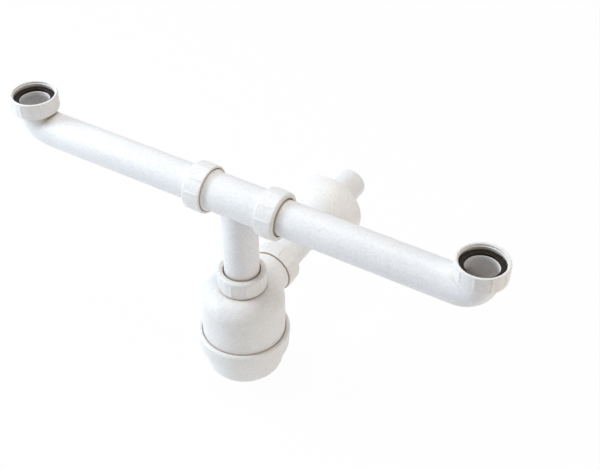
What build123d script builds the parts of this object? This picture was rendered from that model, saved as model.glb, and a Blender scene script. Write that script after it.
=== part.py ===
"""Twin-inlet bottle trap: two inlet arms, a tee, a bottle with a screw cup and a wall outlet.

Millimetres. The origin is the middle of the cup's base, +Z is up, +X runs along the
cross pipe and +Y along the outlet, towards the wall.
"""

import math
import os

from build123d import *

os.makedirs("parts", exist_ok=True)

# Pipe, thread and joint sizes shared by every connection
PIPE_R = 20.0
PIPE_IN_R = 18.0
SOCKET_R = 20.4
THREAD_R = 23.6
NUT_BORE_R = 24.0
NUT_RELIEF_R = 24.4
NUT_HOLE_R = 21.5
NUT_END_WALL = 3.1
NUT_RELIEF = 6.0
SEAL_IN_R = 20.35
SEAL_OUT_R = 23.3
SEAL_LENGTH = 4.0
SLIP_LENGTH = 1.0
STACK_GAP = 0.3

# Nut outsides
SMALL_NUT_R = 27.0
LARGE_NUT_R = 28.0
TEE_NUT_LENGTH = 22.5
NECK_NUT_LENGTH = 22.0
OUTLET_NUT_LENGTH = 22.0
INLET_NUT_LENGTH = 20.5
INLET_NUT_LIP = 3.0
INLET_NUT_RELIEF = 11.2
RIB_COUNT = 10
RIB_WIDTH = 3.2
RIB_HEIGHT = 1.0
RIB_TURN = 10.5

# Heights of the main axes and the reach of the arms
ARM_AXIS_Z = 241.0
OUTLET_AXIS_Z = 94.0
INLET_X = 276.0
INLET_TOP_Z = 283.0
ELBOW_BEND_R = 22.0

# Tee
TEE_R = 22.0
TEE_BORE_R = 18.5
TEE_THREAD_START_X = 33.2
TEE_END_X = 47.5
TEE_SOCKET_FLOOR_X = 20.0
ARM_END_X = 26.0
STEM_END_Z = 117.0

# Bottle body
BODY_R = 48.2
BODY_WALL = 2.5
BODY_FOOT_Z = 34.0
DOME_START_Z = 97.0
DOME_R = 23.0
NECK_TOP_Z = 134.0
NECK_SHOULDER_Z = 112.0
DIP_END_Z = 26.0
STUB_R = 26.0
STUB_SHOULDER_Y = 57.0
STUB_END_Y = 71.5
STUB_SOCKET_FLOOR_Y = 52.0

# Cup
CUP_RIM_R = 53.5
CUP_RIM_Z = 54.0
CUP_BORE_R = 49.0
CUP_COLLAR_R = 52.4
CUP_COLLAR_Z = 31.0
CUP_WALL_R = 47.6
CUP_WALL_Z = 28.5
CUP_BASE_R = 37.5
CUP_LEDGE_Z = 30.6
CUP_IN_R = 44.4
CUP_FLOOR_Z = 3.0

# Outlet pipe and wall flange
OUTLET_START_Y = 56.0
OUTLET_END_Y = 257.0
SPIGOT_START_Y = 203.0
SPIGOT_R = 19.75
FLANGE_RIM_R = 45.0
FLANGE_RIM_Y = 200.0
FLANGE_DEPTH = 47.5
FLANGE_WALL = 2.0
FLANGE_HOLE_R = 20.6

# Inlet end of an arm
COLLAR_R = 23.2
COLLAR_LENGTH = 3.0
WASHER_IN_R = 17.6
MOUTH_R = 16.8
MOUTH_LENGTH = 6.0
WASHER_OUT_R = 23.1
WASHER_THICK = 3.0
WASHER_TOP_DEPTH = 6.5
COLLAR_TOP_Z = INLET_TOP_Z - WASHER_TOP_DEPTH - WASHER_THICK - 0.05


def turned(points):
    """Revolve a closed (radius, height) outline about Z."""
    with BuildPart() as made:
        with BuildSketch(Plane.XZ):
            with BuildLine():
                Polyline(*points, close=True)
            make_face()
        revolve(axis=Axis.Z)
    return made.part


def ring(inner, outer, low, high, bevel=0.0):
    """Plain ring about Z, with its four edges cut back by the bevel."""
    return turned([
        (inner, low + bevel), (inner + bevel, low), (outer - bevel, low), (outer, low + bevel),
        (outer, high - bevel), (outer - bevel, high), (inner + bevel, high), (inner, high - bevel),
    ]) if bevel else turned([(inner, low), (outer, low), (outer, high), (inner, high)])


def union_nut(outer, length, end_wall, hole, relief):
    """Nut about Z: open threaded end at 0, closed end with the pipe hole at its length.

    The thread stops short of the end wall by the relief, where the bore is a little wider.
    """
    lead = 0.8
    thread_end = length - end_wall - relief
    nose = 2.6
    with BuildPart() as made:
        with BuildSketch(Plane.XZ):
            with BuildLine():
                Polyline(
                    (NUT_BORE_R, lead), (NUT_BORE_R + lead, 0), (outer - 0.9, 0), (outer, 0.9),
                    (outer, length - nose), (outer - 0.6, length - 1.3), (outer - 2.2, length),
                    (hole + 0.5, length), (hole, length - 0.5), (hole, length - end_wall),
                    (NUT_RELIEF_R, length - end_wall), (NUT_RELIEF_R, thread_end),
                    (NUT_BORE_R, thread_end), close=True,
                )
            make_face()
        revolve(axis=Axis.Z)
        with BuildSketch(Plane.XY.offset(1.6)):
            with PolarLocations(outer - 0.2, RIB_COUNT):
                Rectangle(2 * RIB_HEIGHT, RIB_WIDTH)
        extrude(amount=length - nose - 1.9)
    return made.part


def seal_ring():
    """Rubber ring about Z: the nose at the bottom enters the socket's bevelled mouth."""
    return turned([
        (SEAL_IN_R, -1.3), (SEAL_IN_R + 0.6, -1.3), (SEAL_OUT_R - 0.7, 0.0), (SEAL_OUT_R, 0.4),
        (SEAL_OUT_R, SEAL_LENGTH), (SEAL_IN_R, SEAL_LENGTH),
    ])


def slip_ring():
    """Thin plastic ring about Z that lets the nut turn without dragging the seal."""
    return ring(SEAL_IN_R + 0.1, SEAL_OUT_R + 0.2, 0.0, SLIP_LENGTH)


def save(part, name):
    part.label = name
    export_step(part, "parts/" + name + ".step")


# Directions of the four compression joints, as turns of +Z
TO_LEFT = (0, -90, 0)
TO_RIGHT = (0, 90, 0)
TO_WALL = (-90, 0, 0)
UPWARDS = (0, 0, -RIB_TURN)


def compression_set(prefix, at, turn, end, nut_radius, nut_length):
    """Seal, slip ring and nut of one joint; end is the socket mouth along the joint's axis."""
    place = Location(at, turn)
    seal_at = end + STACK_GAP
    slip_at = seal_at + SEAL_LENGTH + STACK_GAP
    nut_end = slip_at + SLIP_LENGTH + STACK_GAP + NUT_END_WALL
    save(place * Pos(0, 0, seal_at) * seal_ring(), prefix + "_seal")
    save(place * Pos(0, 0, slip_at) * slip_ring(), prefix + "_slip_ring")
    nut = union_nut(nut_radius, nut_length, NUT_END_WALL, NUT_HOLE_R, NUT_RELIEF)
    save(place * Pos(0, 0, nut_end - nut_length) * nut, prefix + "_nut")


compression_set("left_tee", (0, 0, ARM_AXIS_Z), TO_LEFT, TEE_END_X, SMALL_NUT_R, TEE_NUT_LENGTH)
compression_set("right_tee", (0, 0, ARM_AXIS_Z), TO_RIGHT, TEE_END_X, SMALL_NUT_R, TEE_NUT_LENGTH)
compression_set("neck", (0, 0, 0), UPWARDS, NECK_TOP_Z, LARGE_NUT_R, NECK_NUT_LENGTH)
compression_set(
    "outlet", (0, 0, OUTLET_AXIS_Z), TO_WALL, STUB_END_Y, LARGE_NUT_R, OUTLET_NUT_LENGTH
)

# Tee: run with two threaded sockets and the long stem, one moulding
tee_half = [
    (0, 0), (TEE_R, 0), (TEE_R, TEE_THREAD_START_X - 1.6), (THREAD_R, TEE_THREAD_START_X),
    (THREAD_R, TEE_END_X - 0.8), (THREAD_R - 0.8, TEE_END_X), (0, TEE_END_X),
]
tee_bore = [
    (0, 0), (TEE_BORE_R, 0), (TEE_BORE_R, TEE_SOCKET_FLOOR_X), (SOCKET_R, TEE_SOCKET_FLOOR_X),
    (SOCKET_R, TEE_END_X - 2.0), (SOCKET_R + 2.0, TEE_END_X), (0, TEE_END_X),
]
with BuildPart() as tee:
    with Locations(Location((0, 0, ARM_AXIS_Z), TO_RIGHT), Location((0, 0, ARM_AXIS_Z), TO_LEFT)):
        add(turned(tee_half))
    with BuildSketch(Plane.XY.offset(STEM_END_Z)):
        Circle(PIPE_R)
    extrude(amount=ARM_AXIS_Z - STEM_END_Z)
    with Locations(Location((0, 0, ARM_AXIS_Z), TO_RIGHT), Location((0, 0, ARM_AXIS_Z), TO_LEFT)):
        add(turned(tee_bore), mode=Mode.SUBTRACT)
    with BuildSketch(Plane.XY.offset(STEM_END_Z)):
        Circle(PIPE_IN_R)
    extrude(amount=ARM_AXIS_Z - STEM_END_Z, mode=Mode.SUBTRACT)
save(tee.part, "tee")


def arm_solid(radius):
    """Sweep of one circle along the arm's centre line, up to the inlet collar's top."""
    bend_x = INLET_X - ELBOW_BEND_R
    bend_z = ARM_AXIS_Z + ELBOW_BEND_R
    with BuildPart() as made:
        with BuildSketch(Plane.YZ.offset(ARM_END_X)):
            with Locations((0, ARM_AXIS_Z)):
                Circle(radius)
        extrude(amount=bend_x - ARM_END_X)
        with BuildSketch(Plane.YZ.offset(bend_x)):
            with Locations((0, ARM_AXIS_Z)):
                Circle(radius)
        revolve(axis=Axis((bend_x, 0, bend_z), (0, -1, 0)), revolution_arc=90)
        with BuildSketch(Plane.XY.offset(bend_z)):
            with Locations((INLET_X, 0)):
                Circle(radius)
        extrude(amount=COLLAR_TOP_Z - bend_z)
    return made.part


with BuildPart() as right_arm:
    add(arm_solid(PIPE_R))
    with Locations((INLET_X, 0, 0)):
        add(ring(PIPE_IN_R, COLLAR_R, COLLAR_TOP_Z - COLLAR_LENGTH, COLLAR_TOP_Z))
    add(arm_solid(PIPE_IN_R), mode=Mode.SUBTRACT)
    with Locations((INLET_X, 0, 0)):
        add(turned([
            (PIPE_IN_R + 0.5, COLLAR_TOP_Z - MOUTH_LENGTH), (PIPE_IN_R + 0.5, COLLAR_TOP_Z),
            (MOUTH_R + 0.4, COLLAR_TOP_Z), (MOUTH_R, COLLAR_TOP_Z - 0.4),
            (MOUTH_R, COLLAR_TOP_Z - MOUTH_LENGTH + 1.2), (PIPE_IN_R, COLLAR_TOP_Z - MOUTH_LENGTH),
        ]))
save(right_arm.part, "right_arm")
left_arm = Rot(0, 0, 180) * right_arm.part
save(left_arm, "left_arm")

# Inlet union nuts, open end up, and the flat washers on the collars
for side, sign in (("left", -1), ("right", 1)):
    at_inlet = Pos(sign * INLET_X, 0, INLET_TOP_Z) * Rot(180, 0, 0) * Rot(0, 0, RIB_TURN)
    nut = union_nut(SMALL_NUT_R, INLET_NUT_LENGTH, INLET_NUT_LIP, NUT_HOLE_R, INLET_NUT_RELIEF)
    save(at_inlet * nut, side + "_inlet_nut")
    washer_top = INLET_TOP_Z - WASHER_TOP_DEPTH
    washer = ring(WASHER_IN_R, WASHER_OUT_R, washer_top - WASHER_THICK, washer_top, 0.4)
    save(Pos(sign * INLET_X, 0, 0) * washer, side + "_inlet_washer")

# Bottle body with its neck, inner dip tube and outlet stub, one moulding
DOME_TOP_Z = DOME_START_Z + DOME_R
DOME_FLAT_R = BODY_R - DOME_R
with BuildPart() as bottle_body:
    with BuildSketch(Plane.XZ):
        with BuildLine():
            Polyline(
                (DOME_FLAT_R, DOME_TOP_Z), (THREAD_R, DOME_TOP_Z), (THREAD_R, NECK_TOP_Z - 0.8),
                (THREAD_R - 0.8, NECK_TOP_Z), (0, NECK_TOP_Z), (0, BODY_FOOT_Z),
                (BODY_R, BODY_FOOT_Z), (BODY_R, DOME_START_Z),
            )
            RadiusArc((BODY_R, DOME_START_Z), (DOME_FLAT_R, DOME_TOP_Z), -DOME_R)
        make_face()
    revolve(axis=Axis.Z)
    with BuildSketch(Plane.XZ.offset(-20.0)):
        with Locations((0, OUTLET_AXIS_Z)):
            Circle(STUB_R)
    extrude(amount=-(STUB_SHOULDER_Y - 20.0))
    with BuildSketch(Plane.XZ.offset(-STUB_SHOULDER_Y)):
        with Locations((0, OUTLET_AXIS_Z)):
            Circle(THREAD_R)
    extrude(amount=-(STUB_END_Y - STUB_SHOULDER_Y))
    with BuildSketch(Plane.XZ):
        with BuildLine():
            Polyline(
                (DOME_FLAT_R, DOME_TOP_Z - BODY_WALL), (0, DOME_TOP_Z - BODY_WALL),
                (0, BODY_FOOT_Z), (BODY_R - BODY_WALL, BODY_FOOT_Z),
                (BODY_R - BODY_WALL, DOME_START_Z),
            )
            RadiusArc(
                (BODY_R - BODY_WALL, DOME_START_Z), (DOME_FLAT_R, DOME_TOP_Z - BODY_WALL),
                -(DOME_R - BODY_WALL),
            )
        make_face()
    revolve(axis=Axis.Z, mode=Mode.SUBTRACT)
    with BuildSketch(Plane.XZ.offset(-30.0)):
        with Locations((0, OUTLET_AXIS_Z)):
            Circle(PIPE_IN_R)
    extrude(amount=-(STUB_END_Y - 30.0), mode=Mode.SUBTRACT)
    with BuildSketch(Plane.XZ.offset(-STUB_SOCKET_FLOOR_Y)):
        with Locations((0, OUTLET_AXIS_Z)):
            Circle(SOCKET_R)
    extrude(amount=-(STUB_END_Y - STUB_SOCKET_FLOOR_Y), mode=Mode.SUBTRACT)
    add(ring(PIPE_IN_R, SOCKET_R + 1.6, NECK_SHOULDER_Z - 3.0, DOME_TOP_Z - 1.0))
    add(ring(PIPE_IN_R, PIPE_IN_R + 2.0, DIP_END_Z, NECK_SHOULDER_Z))
    with BuildSketch(Plane.XY.offset(NECK_SHOULDER_Z)):
        Circle(SOCKET_R)
    extrude(amount=NECK_TOP_Z - NECK_SHOULDER_Z, mode=Mode.SUBTRACT)
    add(
        turned([(0, NECK_TOP_Z - 2.0), (SOCKET_R, NECK_TOP_Z - 2.0), (SOCKET_R + 2.0, NECK_TOP_Z),
                (0, NECK_TOP_Z)]),
        mode=Mode.SUBTRACT,
    )
    with Locations(Location((0, 0, OUTLET_AXIS_Z), TO_WALL)):
        add(
            turned([(0, STUB_END_Y - 2.0), (SOCKET_R, STUB_END_Y - 2.0),
                    (SOCKET_R + 2.0, STUB_END_Y), (0, STUB_END_Y)]),
            mode=Mode.SUBTRACT,
        )
save(bottle_body.part, "bottle_body")

# Screw cup with its collar, and the flat seal it presses up to the body's foot
with BuildPart() as bottle_cup:
    with BuildSketch(Plane.XZ):
        with BuildLine():
            Polyline(
                (0, 0), (CUP_BASE_R, 0), (CUP_BASE_R + 2.6, 0.6), (CUP_BASE_R + 4.6, 2.0),
                (CUP_BASE_R + 6.2, 4.2), (CUP_BASE_R + 7.2, 7.0), (CUP_WALL_R - 1.4, 19.0),
                (CUP_WALL_R, CUP_WALL_Z), (CUP_COLLAR_R, CUP_COLLAR_Z),
                (CUP_RIM_R, CUP_RIM_Z - 6.0), (CUP_RIM_R, CUP_RIM_Z - 1.5), (CUP_RIM_R - 1.5, CUP_RIM_Z),
                (CUP_BORE_R + 0.4, CUP_RIM_Z), (CUP_BORE_R, CUP_RIM_Z - 0.4),
                (CUP_BORE_R, CUP_LEDGE_Z), (CUP_IN_R, CUP_LEDGE_Z), (CUP_IN_R, 24.0),
                (CUP_BASE_R + 4.6, 8.0), (CUP_BASE_R + 3.4, 4.2), (CUP_BASE_R + 2.2, CUP_FLOOR_Z),
                (0, CUP_FLOOR_Z), close=True,
            )
        make_face()
    revolve(axis=Axis.Z)
save(bottle_cup.part, "bottle_cup")
save(ring(CUP_IN_R + 0.2, BODY_R, CUP_LEDGE_Z + 0.1, BODY_FOOT_Z - 0.1, 0.3), "cup_seal")

# Outlet pipe, its free end drawn in a little so that it enters a socket
outlet_pipe = turned([
    (PIPE_IN_R, OUTLET_START_Y), (PIPE_R - 0.6, OUTLET_START_Y), (PIPE_R, OUTLET_START_Y + 0.6),
    (PIPE_R, SPIGOT_START_Y), (SPIGOT_R, SPIGOT_START_Y + 0.3), (SPIGOT_R, OUTLET_END_Y - 0.6),
    (SPIGOT_R - 0.6, OUTLET_END_Y), (PIPE_IN_R, OUTLET_END_Y),
])
save(Location((0, 0, OUTLET_AXIS_Z), TO_WALL) * outlet_pipe, "outlet_pipe")


def dome_line(rim_radius, depth):
    """Points of the wall flange's domed line at its rim, half way and at the pipe hole."""
    hole_y = FLANGE_RIM_Y - depth * math.sqrt(1 - (FLANGE_HOLE_R / rim_radius) ** 2)
    half_way = math.radians(35)
    middle = (rim_radius * math.cos(half_way), FLANGE_RIM_Y - depth * math.sin(half_way))
    return [(rim_radius, FLANGE_RIM_Y), middle, (FLANGE_HOLE_R, hole_y)]


# Wall flange: a deep dome, open at the wall
outside = dome_line(FLANGE_RIM_R, FLANGE_DEPTH)
inside = dome_line(FLANGE_RIM_R - FLANGE_WALL, FLANGE_DEPTH - FLANGE_WALL)
with BuildPart() as wall_flange:
    with BuildSketch(Plane.XZ):
        with BuildLine():
            ThreePointArc(*outside)
            Line(outside[2], inside[2])
            ThreePointArc(*reversed(inside))
            Line(inside[0], outside[0])
        make_face()
    revolve(axis=Axis.Z)
save(Location((0, 0, OUTLET_AXIS_Z), TO_WALL) * wall_flange.part, "wall_flange")
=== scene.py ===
"""Looks for the twin-inlet bottle trap: white plastic mouldings, rubber washers and a pale studio."""

import math
from typing import NamedTuple

import bpy
from bpy.props import FloatProperty, FloatVectorProperty, IntProperty, PointerProperty
from bpy.types import Operator, Panel, PropertyGroup
from mathutils import Matrix, Vector


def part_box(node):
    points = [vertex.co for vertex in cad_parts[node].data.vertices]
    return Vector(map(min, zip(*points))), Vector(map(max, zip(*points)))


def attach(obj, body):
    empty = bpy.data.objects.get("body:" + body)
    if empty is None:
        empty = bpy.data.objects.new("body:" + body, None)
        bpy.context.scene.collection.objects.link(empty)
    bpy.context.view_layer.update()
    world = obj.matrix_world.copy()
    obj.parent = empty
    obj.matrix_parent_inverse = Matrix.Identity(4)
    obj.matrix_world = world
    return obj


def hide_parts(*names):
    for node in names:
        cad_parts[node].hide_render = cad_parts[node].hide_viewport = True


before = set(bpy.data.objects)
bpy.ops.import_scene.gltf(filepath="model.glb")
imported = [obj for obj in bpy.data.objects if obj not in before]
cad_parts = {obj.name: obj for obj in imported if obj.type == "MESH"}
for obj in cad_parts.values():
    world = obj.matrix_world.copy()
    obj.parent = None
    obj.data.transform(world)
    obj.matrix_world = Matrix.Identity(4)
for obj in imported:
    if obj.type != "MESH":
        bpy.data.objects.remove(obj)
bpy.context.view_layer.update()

bl_info = {
    "name": "Bottle Trap",
    "version": (1, 0, 0),
    "blender": (4, 5, 0),
    "location": "View3D > Sidebar > Trap",
    "description": "Dresses a twin-inlet bottle trap and sets its studio",
    "category": "Object",
}

MM = 0.001
HAIR = 0.01 * MM
FULL_TURN = 2.0 * math.pi

AXIS_LEFT = Vector((-1.0, 0.0, 0.0))
AXIS_RIGHT = Vector((1.0, 0.0, 0.0))
AXIS_WALL = Vector((0.0, 1.0, 0.0))
AXIS_UP = Vector((0.0, 0.0, 1.0))
AXIS_DOWN = Vector((0.0, 0.0, -1.0))

# Edges of a nut's outline: how far each corner is cut back for its rounding
SHARP = 0.0
LEAD_ROUND = 0.3 * MM
MOUTH_ROUND = 0.2 * MM
RIM_ROUND = 1.1 * MM
SHOULDER_ROUND = 1.6 * MM
BROW_ROUND = 0.8 * MM
HOLE_ROUND = 0.45 * MM
RELIEF_ROUND = 0.4 * MM
ROUND_STEPS = 5

# Form of a nut: lead-in of its mouth, slope of its shoulder, and the ends of its grip ribs
NUT_SEGMENTS = 240
LEAD_IN = 0.8 * MM
SHOULDER_HEIGHT = 1.0 * MM
SHOULDER_DEPTH = 2.4 * MM
RIB_FROM_MOUTH = 3.4 * MM
RIB_FROM_HOLE = 6.0 * MM
RIB_RAMP = 1.8 * MM
RIB_POWER = 1.2
SMOOTH_LIMIT = math.radians(50.0)

# Section of a thread as shares of its pitch, and its run-out as a share of a turn
THREAD_FLANK = 0.32
THREAD_CREST = 0.09
THREAD_FADE = 0.2
THREAD_SINK = 0.1 * MM
THREAD_STEPS = 96
SECTION_CORNERS = 4

# Where each outside thread starts and stops along its axis, from the bottle's axis or the base of the cup
TEE_THREAD = (36.4 * MM, 46.5 * MM)
NECK_THREAD = (121.5 * MM, 133.0 * MM)
OUTLET_THREAD = (59.5 * MM, 70.5 * MM)
CUP_THREAD = (35.5 * MM, 49.0 * MM)

# Inside thread of an inlet nut: its distance from the mouth and from the relief
INLET_THREAD_IN = 1.1 * MM
INLET_THREAD_OUT = 0.6 * MM

# Plastic: noise scales in waves a metre
BROAD_SCALE = 9.0
CLOUD_SCALE = 55.0
MOTTLE_SCALE = 460.0
SCUFF_SCALE = 140.0
SCUFF_STRETCH = (1.0, 6.0, 6.0)
PEPPER_SCALE = 240.0

# Plastic: the span of noise or of openness over which each mark comes in or fades out
SCUFF_SPAN = (0.60, 0.74)
PEPPER_SPAN = (0.735, 0.78)
# Painted shade: these spans of openness darken corners, narrow gaps and deep hollows, where little light
# reaches
CORNER_SHADE_SPAN = (0.35, 0.95)
GAP_SHADE_SPAN = (0.02, 0.40)
HOLLOW_SPAN = (0.15, 0.50)
# How far occlusion looks for other surfaces when it places the painted shade
CREVICE_REACH = 10.0 * MM
HOLLOW_REACH = 45.0 * MM
OCCLUSION_SAMPLES = 8

# Plastic: how far each noise swings the tone, the roughness and the grain
BROAD_TONE = 0.5
CLOUD_TONE = 0.6
MOTTLE_TONE = 2.3
CLOUD_ROUGH = 0.12
MOTTLE_ROUGH = 0.10
SCUFF_ROUGH = 0.10
MOTTLE_GRAIN = 0.8
CLOUD_GRAIN = 0.8
SCUFF_GRAIN = 0.25
GRAIN_DEPTH = 0.05 * MM
GRAIN_STRENGTH = 0.3
PLASTIC_IOR = 1.49

# Plastic: the tones between which the white wanders, and how strongly each mark covers it
TONE_LEVEL = 0.68
DULL_TONE = (0.89, 0.88, 0.87)
BRIGHT_TONE = 1.03
# Painted shade: the taupe laid deep in hollows and bores, and how strongly it covers the white
HOLLOW_SHADE_TONE = (0.86, 0.79, 0.74)
WORN_TONE = 0.62
HOLLOW_SHADE_SHARE = 0.65
SCUFF_SHARE = 0.12
PEPPER_SHARE = 0.3
# Painted shade: how strongly the dark tint covers narrow gaps
GAP_SHADE_LEVEL = 0.75
CLOUD_SHARE = 0.5

# Rubber: cloudy bloom and fine pits
BLOOM_SCALE = 120.0
BLOOM_SPAN = (0.45, 0.8)
BLOOM_SHARE = 0.5
BLOOM_ROUGH = 0.25
BLOOM_GRAIN = 0.5
PIT_SCALE = 1500.0
PIT_DEPTH = 0.15 * MM
PIT_STRENGTH = 0.35
RUBBER_ROUGHNESS = 0.55
RUBBER_SPECULAR = 0.2

# Colour sockets of a Mix node
MIX_FIRST = 6
MIX_SECOND = 7
MIX_RESULT = 2

# Studio
PHOTO_WIDTH = 600.0
SENSOR_WIDTH = 36.0
CLIP_END = 50.0
FLOOR_HALF = 6.0
ROOM_TINT = (1.0, 0.985, 0.965)
PURE_WHITE = (1.0, 1.0, 1.0)
LAMP_TARGET = Vector((0.0, 0.0, 0.15))


class PlasticLook(NamedTuple):
    """One family of mouldings: the name of its white, its roughness, and how strongly painted shade darkens
    its corners and its narrow gaps.
    """

    white: str
    roughness: float
    corner_shade: float
    gap: float


# The last two numbers of each family set how strongly painted shade darkens its corners and its narrow gaps
PLASTICS = {
    "pipe": PlasticLook("pipe_white", roughness=0.44, corner_shade=0.25, gap=0.7),
    "nut": PlasticLook("nut_white", roughness=0.44, corner_shade=0.65, gap=0.7),
    "inlet": PlasticLook("nut_white", roughness=0.44, corner_shade=0.1, gap=0.2),
    "bottle": PlasticLook("bottle_white", roughness=0.44, corner_shade=0.0, gap=0.15),
    # Painted light: the flange's white is brighter than the other mouldings' whites
    "flange": PlasticLook("flange_white", roughness=0.46, corner_shade=0.15, gap=0.7),
    "slip": PlasticLook("slip_white", roughness=0.5, corner_shade=0.2, gap=0.7),
}


class StudioLamp(NamedTuple):
    """One round lamp: its name, the name of its power setting, its place, diameter and tint."""

    name: str
    power: str
    place: tuple
    size: float
    tint: tuple


LAMPS = (
    StudioLamp("overhead lamp", "top_power", place=(-0.3, 0.05, 2.1), size=1.2, tint=(1.0, 0.995, 0.985)),
    StudioLamp("left lamp", "left_power", place=(-1.7, -0.8, 1.1), size=0.9, tint=(0.82, 0.91, 1.0)),
    StudioLamp("right lamp", "right_power", place=(1.7, 0.15, 0.55), size=1.2, tint=(1.0, 0.86, 0.70)),
)


class Value:
    """A shader socket that takes part in Python arithmetic; each operation adds one Math node."""

    NOISE_MIDDLE = 0.5

    def __init__(self, tree, socket):
        self.tree = tree
        self.socket = socket

    def math(self, operation, first, second, clamp=False):
        made = add_node(self.tree, "ShaderNodeMath", {"operation": operation, "use_clamp": clamp},
                        {0: first, 1: second})
        return Value(self.tree, made.outputs[0])

    def __add__(self, other):
        return self.math("ADD", self, other)

    __radd__ = __add__

    def __mul__(self, other):
        return self.math("MULTIPLY", self, other)

    __rmul__ = __mul__

    def __sub__(self, other):
        return self.math("SUBTRACT", self, other)

    def __rsub__(self, other):
        return self.math("SUBTRACT", other, self)

    def clamp(self):
        return self.math("ADD", self, 0.0, clamp=True)

    def swing(self, amount):
        """A noise about its middle, scaled to an amount."""
        return (self - self.NOISE_MIDDLE) * amount

    def step(self, low, high):
        """Smooth 0 to 1 as this value goes from low to high."""
        made = add_node(self.tree, "ShaderNodeMapRange", {"interpolation_type": "SMOOTHSTEP"},
                        {"Value": self, "From Min": low, "From Max": high})
        return Value(self.tree, made.outputs[0])


def add_node(tree, kind, settings=None, inputs=None):
    """Any shader node: its settings first, then the values or links of its sockets."""
    made = tree.nodes.new(kind)
    for name, value in (settings or {}).items():
        setattr(made, name, value)
    for key, value in (inputs or {}).items():
        target = made.inputs[key]
        if isinstance(value, Value):
            tree.links.new(value.socket, target)
        elif isinstance(value, bpy.types.NodeSocket):
            tree.links.new(value, target)
        else:
            target.default_value = value
    return made


def opaque(colour, gain=1.0):
    return (colour[0] * gain, colour[1] * gain, colour[2] * gain, 1.0)


def tinted(colour, factors):
    return tuple(part * factor for part, factor in zip(colour, factors)) + (1.0,)


def new_material(name):
    material = bpy.data.materials.new(name)
    material.use_nodes = True
    tree = material.node_tree
    tree.nodes.clear()
    output = tree.nodes.new("ShaderNodeOutputMaterial")
    return material, tree, output


def noise(tree, where, scale, detail=2.0, roughness=0.5):
    made = add_node(tree, "ShaderNodeTexNoise", {"noise_dimensions": "3D"},
                    {"Vector": where, "Scale": scale, "Detail": detail, "Roughness": roughness})
    return Value(tree, made.outputs[0])


def occlusion(tree, reach):
    """1 in the open, less where other surfaces stand within reach."""
    made = add_node(tree, "ShaderNodeAmbientOcclusion",
                    {"samples": OCCLUSION_SAMPLES, "only_local": False}, {"Distance": reach})
    return Value(tree, made.outputs["AO"])


def mixed_colour(tree, factor, first, second):
    made = add_node(tree, "ShaderNodeMix", {"data_type": "RGBA"},
                    {"Factor": factor, MIX_FIRST: first, MIX_SECOND: second})
    return made.outputs[MIX_RESULT]


def backdrop_rays(tree):
    """1 for the rays that meet the white backdrop: the camera's, and those of gloss and glass."""
    path = add_node(tree, "ShaderNodeLightPath")
    camera, glossy, through = (Value(tree, path.outputs[name]) for name in (
        "Is Camera Ray", "Is Glossy Ray", "Is Transmission Ray"))
    return (camera + glossy + through).clamp()


def moulded_plastic(name, look):
    """Satin white polypropylene: mottled tones, moulded grain and scuffs, with painted warm shade in
    corners, painted dark shade in narrow gaps and painted shade deep in hollows.
    """
    white = getattr(colours(), look.white)
    material, tree, output = new_material(name)
    where = add_node(tree, "ShaderNodeTexCoord").outputs["Object"]
    broad = noise(tree, where, BROAD_SCALE)
    cloudy = noise(tree, where, CLOUD_SCALE, detail=3.0)
    mottle = noise(tree, where, MOTTLE_SCALE, roughness=0.6)
    streaks = add_node(tree, "ShaderNodeMapping", None, {"Vector": where, "Scale": SCUFF_STRETCH}).outputs[0]
    scuff = noise(tree, streaks, SCUFF_SCALE, detail=4.0, roughness=0.6).step(*SCUFF_SPAN)
    pepper = noise(tree, where, PEPPER_SCALE, detail=1.0).step(*PEPPER_SPAN)
    # Painted shade from occlusion: a warm tint in corners, a dark brown in narrow gaps and taupe deep in
    # hollows
    openness = occlusion(tree, CREVICE_REACH)
    corner_shade = (1.0 - openness.step(*CORNER_SHADE_SPAN)) * (look.corner_shade + cloudy * CLOUD_SHARE)
    gap_shade = (1.0 - openness.step(*GAP_SHADE_SPAN)) * (GAP_SHADE_LEVEL + cloudy * CLOUD_SHARE) * look.gap
    hollow_shade = 1.0 - occlusion(tree, HOLLOW_REACH).step(*HOLLOW_SPAN)
    tone = broad.swing(BROAD_TONE) + cloudy.swing(CLOUD_TONE) + mottle.swing(MOTTLE_TONE) + TONE_LEVEL
    body = mixed_colour(tree, tone.clamp(), tinted(white, DULL_TONE), opaque(white, BRIGHT_TONE))
    shaded = mixed_colour(tree, hollow_shade * HOLLOW_SHADE_SHARE, body, tinted(white, HOLLOW_SHADE_TONE))
    worn = mixed_colour(tree, scuff * SCUFF_SHARE + pepper * PEPPER_SHARE, shaded, opaque(white, WORN_TONE))
    corner_shaded = mixed_colour(tree, corner_shade.clamp(), worn, opaque(colours().corner_shade_tint))
    final = mixed_colour(tree, gap_shade.clamp(), corner_shaded, opaque(colours().gap_shade_tint))
    rough = look.roughness + cloudy.swing(CLOUD_ROUGH) + mottle.swing(MOTTLE_ROUGH) + scuff * SCUFF_ROUGH
    bump = add_node(tree, "ShaderNodeBump", None, {
        "Strength": GRAIN_STRENGTH, "Distance": GRAIN_DEPTH,
        "Height": mottle * MOTTLE_GRAIN + cloudy * CLOUD_GRAIN - scuff * SCUFF_GRAIN,
    })
    shader = add_node(tree, "ShaderNodeBsdfPrincipled", None, {
        "Base Color": final, "Roughness": rough.clamp(), "Normal": bump.outputs[0], "IOR": PLASTIC_IOR,
    })
    tree.links.new(shader.outputs[0], output.inputs["Surface"])
    return material


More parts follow.
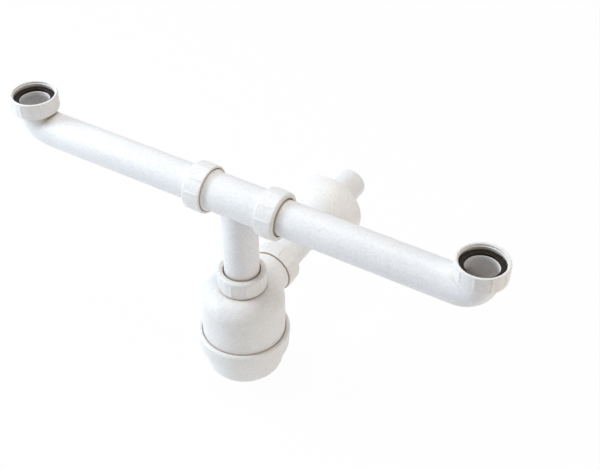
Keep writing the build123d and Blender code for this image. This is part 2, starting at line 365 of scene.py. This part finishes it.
def rubber(name):
    """Matt moulded rubber: cloudy dust, fine pits and a slightly greasy bloom."""
    material, tree, output = new_material(name)
    where = add_node(tree, "ShaderNodeTexCoord").outputs["Object"]
    bloom = noise(tree, where, BLOOM_SCALE, detail=4.0, roughness=0.6)
    pits = noise(tree, where, PIT_SCALE)
    dusty = (bloom.step(*BLOOM_SPAN) * BLOOM_SHARE).clamp()
    colour = mixed_colour(tree, dusty, opaque(colours().rubber_black), opaque(colours().rubber_dust))
    rough = RUBBER_ROUGHNESS + bloom.swing(BLOOM_ROUGH)
    bump = add_node(tree, "ShaderNodeBump", None,
                    {"Strength": PIT_STRENGTH, "Distance": PIT_DEPTH, "Height": pits + bloom * BLOOM_GRAIN})
    shader = add_node(tree, "ShaderNodeBsdfPrincipled", None, {
        "Base Color": colour, "Roughness": rough.clamp(), "Normal": bump.outputs[0],
        "Specular IOR Level": RUBBER_SPECULAR,
    })
    tree.links.new(shader.outputs[0], output.inputs["Surface"])
    return material


def add_object(name, data):
    made = bpy.data.objects.new(name, data)
    bpy.context.scene.collection.objects.link(made)
    return made


def dress(node, material):
    """Give a CAD node its one finish."""
    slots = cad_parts[node].data.materials
    slots.clear()
    slots.append(material)


def rounded(corners):
    """Outline with each (radius, height, cut) corner rounded off over its cut length."""
    points = []
    count = len(corners)
    for index, (r, h, cut) in enumerate(corners):
        here = Vector((r, h))
        if cut == SHARP:
            points.append(here)
            continue
        before = Vector(corners[index - 1][:2])
        after = Vector(corners[(index + 1) % count][:2])
        start = here + (before - here).normalized() * cut
        stop = here + (after - here).normalized() * cut
        for step in range(ROUND_STEPS + 1):
            t = step / ROUND_STEPS
            points.append(start * (1 - t) ** 2 + here * (2 * t * (1 - t)) + stop * t ** 2)
    return points


def axis_matrix(origin, axis):
    """Place of a turned form that stands on an origin and points along an axis."""
    if axis == AXIS_DOWN:
        turn = Matrix.Rotation(math.pi, 4, "X")
    else:
        turn = AXIS_UP.rotation_difference(axis).to_matrix().to_4x4()
    return Matrix.Translation(origin) @ turn


def polar(radius, angle, height):
    return Vector((radius * math.cos(angle), radius * math.sin(angle), height))


def lathe(name, outline, place, segments, swell):
    """Closed ring from a (radius, height) outline; swell(angle, radius, height) adds to a radius."""
    vertices = []
    for index in range(segments):
        angle = FULL_TURN * index / segments
        for radius, height in outline:
            vertices.append(place @ polar(radius + swell(angle, radius, height), angle, height))
    row = len(outline)
    faces = []
    for index in range(segments):
        here = index * row
        there = ((index + 1) % segments) * row
        for k in range(row):
            after = (k + 1) % row
            faces.append((here + k, there + k, there + after, here + after))
    return mesh_piece(name, vertices, faces)


def mesh_piece(name, vertices, faces):
    mesh = bpy.data.meshes.new(name)
    mesh.from_pydata(vertices, [], faces)
    mesh.validate()
    piece = add_object(name, mesh)
    mesh.shade_smooth()
    mesh.set_sharp_from_angle(angle=SMOOTH_LIMIT)
    weighted = piece.modifiers.new("even shading", "WEIGHTED_NORMAL")
    weighted.keep_sharp = True
    return piece


def finish_piece(piece, body, material, replaced=()):
    piece.data.materials.append(material)
    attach(piece, body)
    if replaced:
        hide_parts(*replaced)


class TrapColours(PropertyGroup):
    """Finishes that a user may change."""

    pipe_white: FloatVectorProperty(
        name="Pipe white", description="Colour of the arms, tee and outlet pipe",
        subtype="COLOR", size=3, min=0.0, max=1.0, default=(0.915, 0.925, 0.945))
    nut_white: FloatVectorProperty(
        name="Nut white", description="Colour of the nuts",
        subtype="COLOR", size=3, min=0.0, max=1.0, default=(0.915, 0.915, 0.915))
    bottle_white: FloatVectorProperty(
        name="Bottle white", description="Colour of the bottle and its cup",
        subtype="COLOR", size=3, min=0.0, max=1.0, default=(0.91, 0.91, 0.91))
    # Painted light: brighter than the other whites, standing in for the extra light that falls on the flange
    flange_white: FloatVectorProperty(
        name="Flange white", description="Colour of the wall flange",
        subtype="COLOR", size=3, min=0.0, max=1.0, default=(0.95, 0.945, 0.935))
    slip_white: FloatVectorProperty(
        name="Slip ring white", description="Colour of the thin slip rings",
        subtype="COLOR", size=3, min=0.0, max=1.0, default=(0.74, 0.75, 0.76))
    # Painted shade: the warm tint laid into corners and recesses
    corner_shade_tint: FloatVectorProperty(
        name="Stain tint", description="Colour of the yellowed corners",
        subtype="COLOR", size=3, min=0.0, max=1.0, default=(0.66, 0.53, 0.36))
    # Painted shade: the dark brown laid into narrow gaps
    gap_shade_tint: FloatVectorProperty(
        name="Gap tint", description="Colour of the shadowed dirt in narrow gaps",
        subtype="COLOR", size=3, min=0.0, max=1.0, default=(0.40, 0.29, 0.19))
    rubber_black: FloatVectorProperty(
        name="Rubber black", description="Colour of the washers and seals",
        subtype="COLOR", size=3, min=0.0, max=1.0, default=(0.012, 0.0080, 0.006))
    rubber_dust: FloatVectorProperty(
        name="Rubber dust", description="Colour of the bloom on the rubber",
        subtype="COLOR", size=3, min=0.0, max=1.0, default=(0.060, 0.044, 0.034))


class TrapSizes(PropertyGroup):
    """Details that the looks add to the frame."""

    small_nut: FloatProperty(
        name="Small nut radius", description="Outside radius of the tee and inlet nuts without their ribs",
        unit="LENGTH", default=27.0 * MM)
    large_nut: FloatProperty(
        name="Large nut radius", description="Outside radius of the neck and outlet nuts without their ribs",
        unit="LENGTH", default=28.0 * MM)
    nut_bore: FloatProperty(
        name="Nut bore radius", description="Inside radius of a nut over its thread",
        unit="LENGTH", default=24.0 * MM)
    nut_relief: FloatProperty(
        name="Nut relief radius", description="Inside radius of a nut behind its thread",
        unit="LENGTH", default=24.4 * MM)
    nut_hole: FloatProperty(
        name="Nut hole radius", description="Radius of the hole that the pipe passes",
        unit="LENGTH", default=21.5 * MM)
    rib_count: IntProperty(
        name="Grip ribs", description="Ribs around each nut", default=10, min=3, max=40)
    rib_width: FloatProperty(
        name="Rib width", description="Width of a grip rib at its foot",
        unit="LENGTH", default=4.2 * MM)
    rib_height: FloatProperty(
        name="Rib height", description="How far a rib stands out of the nut",
        unit="LENGTH", default=0.8 * MM)
    rib_turn: FloatProperty(
        name="Rib turn", description="How far the ribs of the upright nuts are turned round",
        subtype="ANGLE", default=math.radians(10.5))
    thread_pitch: FloatProperty(
        name="Thread pitch", description="Pitch of the nuts' threads", unit="LENGTH", default=2.309 * MM)
    thread_height: FloatProperty(
        name="Inlet thread height", description="How far an inlet nut's thread stands into its bore",
        unit="LENGTH", default=0.75 * MM)
    socket_thread: FloatProperty(
        name="Socket thread radius", description="Root radius of the threads that carry the nuts",
        unit="LENGTH", default=23.6 * MM)
    socket_rise: FloatProperty(
        name="Socket thread height", description="How far those threads stand out",
        unit="LENGTH", default=0.3 * MM)
    outlet_height: FloatProperty(
        name="Outlet height", description="Height of the outlet's axis", unit="LENGTH", default=94.0 * MM)
    bottle_radius: FloatProperty(
        name="Bottle radius", description="Radius of the bottle's foot", unit="LENGTH", default=48.2 * MM)
    cup_rise: FloatProperty(
        name="Cup thread height", description="How far the bottle's thread stands out",
        unit="LENGTH", default=0.6 * MM)
    cup_pitch: FloatProperty(
        name="Cup pitch", description="Pitch of the cup's thread", unit="LENGTH", default=4.0 * MM)


class TrapStage(PropertyGroup):
    """Camera, floor and lamps."""

    camera_place: FloatVectorProperty(
        name="Camera place", description="Where the camera stands",
        subtype="TRANSLATION", unit="LENGTH", size=3, default=(0.5234, -0.7519, 0.9759))
    camera_azimuth: FloatProperty(
        name="Camera azimuth", description="Turn of the camera around the trap",
        subtype="ANGLE", default=math.radians(30.773))
    camera_elevation: FloatProperty(
        name="Camera elevation", description="How far the camera looks down",
        subtype="ANGLE", default=math.radians(40.601))
    camera_roll: FloatProperty(
        name="Camera roll", description="Tilt of the picture", subtype="ANGLE", default=math.radians(0.116))
    focal_pixels: FloatProperty(
        name="Focal length", description="Focal length in pixels of the photo's width", default=1105.5)
    floor_white: FloatVectorProperty(
        name="Floor white", description="Colour of the floor",
        subtype="COLOR", size=3, min=0.0, max=1.0, default=(0.94, 0.94, 0.945))
    floor_drop: FloatProperty(
        name="Floor drop", description="How far the floor lies below the cup, to leave room to unscrew it",
        unit="LENGTH", default=25.0 * MM)
    floor_share: FloatProperty(
        name="Floor backdrop", description="Share of plain backdrop white in the floor seen by the camera",
        min=0.0, max=1.0, default=0.97)
    top_power: FloatProperty(
        name="Overhead lamp", description="Power of the lamp above", unit="POWER", default=17.5)
    left_power: FloatProperty(
        name="Left lamp", description="Power of the cool lamp on the left", unit="POWER", default=29.5)
    right_power: FloatProperty(
        name="Right lamp", description="Power of the warm lamp on the right", unit="POWER", default=7.0)
    world_level: FloatProperty(
        name="Room light", description="Even light from all round", min=0.0, max=2.0, default=0.26)


finishes = {}


def colours():
    return bpy.context.scene.trap_colours


def sizes():
    return bpy.context.scene.trap_sizes


def plastic(kind):
    """The white plastic of one family of pieces, made on first use."""
    if kind not in finishes:
        finishes[kind] = moulded_plastic(kind + " plastic", PLASTICS[kind])
    return finishes[kind]


def black_rubber():
    if "rubber" not in finishes:
        finishes["rubber"] = rubber("black rubber")
    return finishes["rubber"]


def rib_span(length):
    """Heights between which a nut's ribs stand at their full height."""
    return RIB_FROM_MOUTH, length - RIB_FROM_HOLE


def nut_outline(outer, length, end_wall, thread_end):
    """Outline of a nut, open end at height 0 and the pipe hole at its length."""
    s = sizes()
    rib_low, rib_high = rib_span(length)
    wall = length - end_wall
    return rounded([
        (s.nut_bore, LEAD_IN, LEAD_ROUND),
        (s.nut_bore + LEAD_IN, 0.0, MOUTH_ROUND),
        (outer, 0.0, RIM_ROUND),
        (outer, rib_low - RIB_RAMP, SHARP),
        (outer, rib_low, SHARP),
        (outer, rib_high, SHARP),
        (outer, rib_high + RIB_RAMP, SHARP),
        (outer, length - SHOULDER_HEIGHT, SHOULDER_ROUND),
        (outer - SHOULDER_DEPTH, length, BROW_ROUND),
        (s.nut_hole, length, HOLE_ROUND),
        (s.nut_hole, wall, LEAD_ROUND),
        (s.nut_relief, wall, RELIEF_ROUND),
        (s.nut_relief, thread_end, SHARP),
        (s.nut_bore, thread_end, SHARP),
    ])


def rib_swell(outer, length):
    """Rounded grip ribs along the middle of a nut's outside."""
    s = sizes()
    half = s.rib_width / outer / 2.0
    spacing = FULL_TURN / s.rib_count
    low, high = rib_span(length)

    def swell(angle, radius, height):
        away = abs((angle + spacing / 2.0) % spacing - spacing / 2.0)
        outside = radius > outer - HAIR and low - HAIR < height < high + HAIR
        if not outside or away >= half:
            return 0.0
        return s.rib_height * math.cos(away / half * math.pi / 2.0) ** RIB_POWER

    return swell


def make_nut(node, kind, axis, outer, end_wall, relief, rib_turn=0.0):
    """One nut in place of its CAD node; returns its place and where its thread ends."""
    low, high = (Vector(corner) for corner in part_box(node))
    length = abs((high - low).dot(axis))
    thread_end = length - end_wall - relief
    start = (low + high) / 2.0 - axis * (length / 2.0)
    place = axis_matrix(start, axis) @ Matrix.Rotation(rib_turn, 4, "Z")
    nut = lathe(node + "_shell", nut_outline(outer, length, end_wall, thread_end), place, NUT_SEGMENTS,
                rib_swell(outer, length))
    finish_piece(nut, node, plastic(kind), [node])
    return place, thread_end


def helix(name, place, root, rise, span, pitch):
    """Thread ridge along an axis over a span; it fades out at both ends, and rise may be inwards."""
    start, stop = span
    flank = pitch * THREAD_FLANK
    crest_half = pitch * THREAD_CREST
    foot = root - math.copysign(THREAD_SINK, rise)
    crest_root = (root + foot) / 2.0
    count = int((stop - start - 2.0 * flank) / pitch * THREAD_STEPS)
    fade_steps = THREAD_STEPS * THREAD_FADE
    vertices = []
    for index in range(count + 1):
        angle = FULL_TURN * index / THREAD_STEPS
        height = start + flank + pitch * index / THREAD_STEPS
        crest = crest_root + rise * min(1.0, index / fade_steps, (count - index) / fade_steps)
        for radius, offset in ((foot, -flank), (crest, -crest_half), (crest, crest_half), (foot, flank)):
            vertices.append(place @ polar(radius, angle, height + offset))
    faces = []
    for index in range(count):
        here = index * SECTION_CORNERS
        there = here + SECTION_CORNERS
        for k in range(SECTION_CORNERS):
            after = (k + 1) % SECTION_CORNERS
            faces.append((here + k, here + after, there + after, there + k))
    faces.append((0, 3, 2, 1))
    faces.append(tuple(count * SECTION_CORNERS + k for k in range(SECTION_CORNERS)))
    return mesh_piece(name, vertices, faces)


class TRAP_OT_pipes(Operator):
    """Finish the arms, the tee and the outlet pipe"""

    bl_idname = "trap.pipes"
    bl_label = "Pipes"

    def execute(self, context):
        for node in ("left_arm", "right_arm", "tee", "outlet_pipe"):
            dress(node, plastic("pipe"))
        return {"FINISHED"}


class TRAP_OT_nuts(Operator):
    """Build the compression nuts with rounded ends and grip ribs"""

    bl_idname = "trap.nuts"
    bl_label = "Compression nuts"

    end_wall = 3.1 * MM
    relief = 6.0 * MM

    def execute(self, context):
        s = sizes()
        for node, axis, outer, rib_turn in (
                ("left_tee_nut", AXIS_LEFT, s.small_nut, 0.0),
                ("right_tee_nut", AXIS_RIGHT, s.small_nut, 0.0),
                ("outlet_nut", AXIS_WALL, s.large_nut, 0.0),
                ("neck_nut", AXIS_UP, s.large_nut, -s.rib_turn)):
            make_nut(node, "nut", axis, outer, self.end_wall, self.relief, rib_turn)
        return {"FINISHED"}


class TRAP_OT_inlet_nuts(Operator):
    """Build the two open inlet nuts with their inside threads"""

    bl_idname = "trap.inlet_nuts"
    bl_label = "Inlet nuts"

    lip = 3.0 * MM
    relief = 11.2 * MM

    def execute(self, context):
        s = sizes()
        for side in ("left", "right"):
            node = side + "_inlet_nut"
            place, thread_end = make_nut(node, "inlet", AXIS_DOWN, s.small_nut, self.lip, self.relief,
                                         s.rib_turn)
            span = (INLET_THREAD_IN, thread_end - INLET_THREAD_OUT)
            ridge = helix(side + "_inlet_thread", place, s.nut_bore, -s.thread_height, span, s.thread_pitch)
            finish_piece(ridge, node, plastic("inlet"))
        return {"FINISHED"}


class TRAP_OT_threads(Operator):
    """Cut the outside threads that show once a nut or the cup is unscrewed"""

    bl_idname = "trap.threads"
    bl_label = "Outside threads"

    def execute(self, context):
        s = sizes()
        tee_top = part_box("tee")[1][2]
        arms = Vector((0.0, 0.0, tee_top - s.socket_thread))
        outlet = Vector((0.0, 0.0, s.outlet_height))
        base = Vector((0.0, 0.0, 0.0))
        for name, body, kind, origin, axis, span in (
                ("left_tee_thread", "tee", "pipe", arms, AXIS_LEFT, TEE_THREAD),
                ("right_tee_thread", "tee", "pipe", arms, AXIS_RIGHT, TEE_THREAD),
                ("neck_thread", "bottle_body", "bottle", base, AXIS_UP, NECK_THREAD),
                ("outlet_thread", "bottle_body", "bottle", outlet, AXIS_WALL, OUTLET_THREAD)):
            ridge = helix(name, axis_matrix(origin, axis), s.socket_thread, s.socket_rise, span,
                          s.thread_pitch)
            finish_piece(ridge, body, plastic(kind))
        foot = helix("cup_thread", axis_matrix(base, AXIS_UP), s.bottle_radius, s.cup_rise, CUP_THREAD,
                     s.cup_pitch)
        finish_piece(foot, "bottle_body", plastic("bottle"))
        return {"FINISHED"}


class TRAP_OT_bottle(Operator):
    """Finish the bottle and its screw cup"""

    bl_idname = "trap.bottle"
    bl_label = "Bottle and cup"

    def execute(self, context):
        for node in ("bottle_body", "bottle_cup"):
            dress(node, plastic("bottle"))
        return {"FINISHED"}


class TRAP_OT_flange(Operator):
    """Finish the wall flange"""

    bl_idname = "trap.flange"
    bl_label = "Wall flange"

    def execute(self, context):
        dress("wall_flange", plastic("flange"))
        return {"FINISHED"}


class TRAP_OT_rubber(Operator):
    """Finish the inlet washers, the joint seals and the cup seal"""

    bl_idname = "trap.rubber"
    bl_label = "Washers and seals"

    def execute(self, context):
        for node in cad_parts:
            if node.endswith(("_washer", "_seal")):
                dress(node, black_rubber())
        return {"FINISHED"}


class TRAP_OT_slip_rings(Operator):
    """Finish the thin slip rings inside the nuts"""

    bl_idname = "trap.slip_rings"
    bl_label = "Slip rings"

    def execute(self, context):
        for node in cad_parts:
            if node.endswith("_slip_ring"):
                dress(node, plastic("slip"))
        return {"FINISHED"}


class TRAP_OT_stage(Operator):
    """Set the floor, the room light, the lamps and the camera"""

    bl_idname = "trap.stage"
    bl_label = "Studio"

    def execute(self, context):
        settings = context.scene.trap_stage
        context.scene.view_settings.view_transform = "Standard"
        self.floor(settings)
        self.room(context, settings)
        for lamp in LAMPS:
            self.light(lamp, getattr(settings, lamp.power))
        self.camera(context, settings)
        return {"FINISHED"}

    def floor(self, settings):
        low, high, level = -FLOOR_HALF, FLOOR_HALF, -settings.floor_drop
        corners = [(low, low, level), (high, low, level), (high, high, level), (low, high, level)]
        mesh = bpy.data.meshes.new("floor")
        mesh.from_pydata(corners, [], [(0, 1, 2, 3)])
        material, tree, output = new_material("floor white")
        paper = add_node(tree, "ShaderNodeBsdfDiffuse", None, {"Color": opaque(settings.floor_white)})
        backdrop = add_node(tree, "ShaderNodeEmission", None, {"Color": opaque(PURE_WHITE), "Strength": 1.0})
        blend = add_node(tree, "ShaderNodeMixShader", None, {
            0: backdrop_rays(tree) * settings.floor_share, 1: paper.outputs[0], 2: backdrop.outputs[0]})
        tree.links.new(blend.outputs[0], output.inputs["Surface"])
        mesh.materials.append(material)
        add_object("floor", mesh)

    def room(self, context, settings):
        world = bpy.data.worlds.new("pale room")
        context.scene.world = world
        world.use_nodes = True
        tree = world.node_tree
        tree.nodes.clear()
        output = tree.nodes.new("ShaderNodeOutputWorld")
        even = add_node(tree, "ShaderNodeBackground", None,
                        {"Color": opaque(ROOM_TINT), "Strength": settings.world_level})
        white = add_node(tree, "ShaderNodeBackground", None, {"Color": opaque(PURE_WHITE), "Strength": 1.0})
        blend = add_node(tree, "ShaderNodeMixShader", None,
                         {0: backdrop_rays(tree), 1: even.outputs[0], 2: white.outputs[0]})
        tree.links.new(blend.outputs[0], output.inputs["Surface"])

    def light(self, lamp, power):
        light = bpy.data.lights.new(lamp.name, "AREA")
        light.shape = "DISK"
        light.size = lamp.size
        light.energy = power
        light.color = lamp.tint
        stand = add_object(lamp.name, light)
        stand.location = lamp.place
        stand.rotation_euler = (LAMP_TARGET - stand.location).to_track_quat("-Z", "Y").to_euler()

    def camera(self, context, settings):
        azimuth = settings.camera_azimuth
        elevation = settings.camera_elevation
        roll = settings.camera_roll
        back = Vector((math.sin(azimuth) * math.cos(elevation),
                       -math.cos(azimuth) * math.cos(elevation), math.sin(elevation)))
        right = (-back).cross(AXIS_UP).normalized()
        up = right.cross(-back)
        side = right * math.cos(roll) + up * math.sin(roll)
        top = up * math.cos(roll) - right * math.sin(roll)
        turn = Matrix((side, top, back)).transposed().to_4x4()
        data = bpy.data.cameras.new("camera")
        data.sensor_fit = "HORIZONTAL"
        data.sensor_width = SENSOR_WIDTH
        data.lens = settings.focal_pixels * SENSOR_WIDTH / PHOTO_WIDTH
        data.clip_end = CLIP_END
        camera = add_object("camera", data)
        camera.matrix_world = Matrix.Translation(Vector(settings.camera_place)) @ turn
        context.scene.camera = camera


class TRAP_PT_sidebar(Panel):
    """Sidebar list of the trap's steps"""

    bl_idname = "TRAP_PT_sidebar"
    bl_label = "Bottle Trap"
    bl_space_type = "VIEW_3D"
    bl_region_type = "UI"
    bl_category = "Trap"

    def draw(self, context):
        for operator in OPERATORS:
            self.layout.operator(operator.bl_idname)


GROUPS = (TrapColours, TrapSizes, TrapStage)
OPERATORS = (TRAP_OT_pipes, TRAP_OT_nuts, TRAP_OT_inlet_nuts, TRAP_OT_threads, TRAP_OT_bottle,
             TRAP_OT_flange, TRAP_OT_rubber, TRAP_OT_slip_rings, TRAP_OT_stage)
CLASSES = GROUPS + OPERATORS + (TRAP_PT_sidebar,)


def register():
    for item in CLASSES:
        bpy.utils.register_class(item)
    bpy.types.Scene.trap_colours = PointerProperty(type=TrapColours)
    bpy.types.Scene.trap_sizes = PointerProperty(type=TrapSizes)
    bpy.types.Scene.trap_stage = PointerProperty(type=TrapStage)


def unregister():
    del bpy.types.Scene.trap_stage
    del bpy.types.Scene.trap_sizes
    del bpy.types.Scene.trap_colours
    for item in reversed(CLASSES):
        bpy.utils.unregister_class(item)


def main():
    register()
    bpy.ops.trap.pipes()
    bpy.ops.trap.nuts()
    bpy.ops.trap.inlet_nuts()
    bpy.ops.trap.threads()
    bpy.ops.trap.bottle()
    bpy.ops.trap.flange()
    bpy.ops.trap.rubber()
    bpy.ops.trap.slip_rings()
    bpy.ops.trap.stage()


if __name__ == "__main__":
    main()
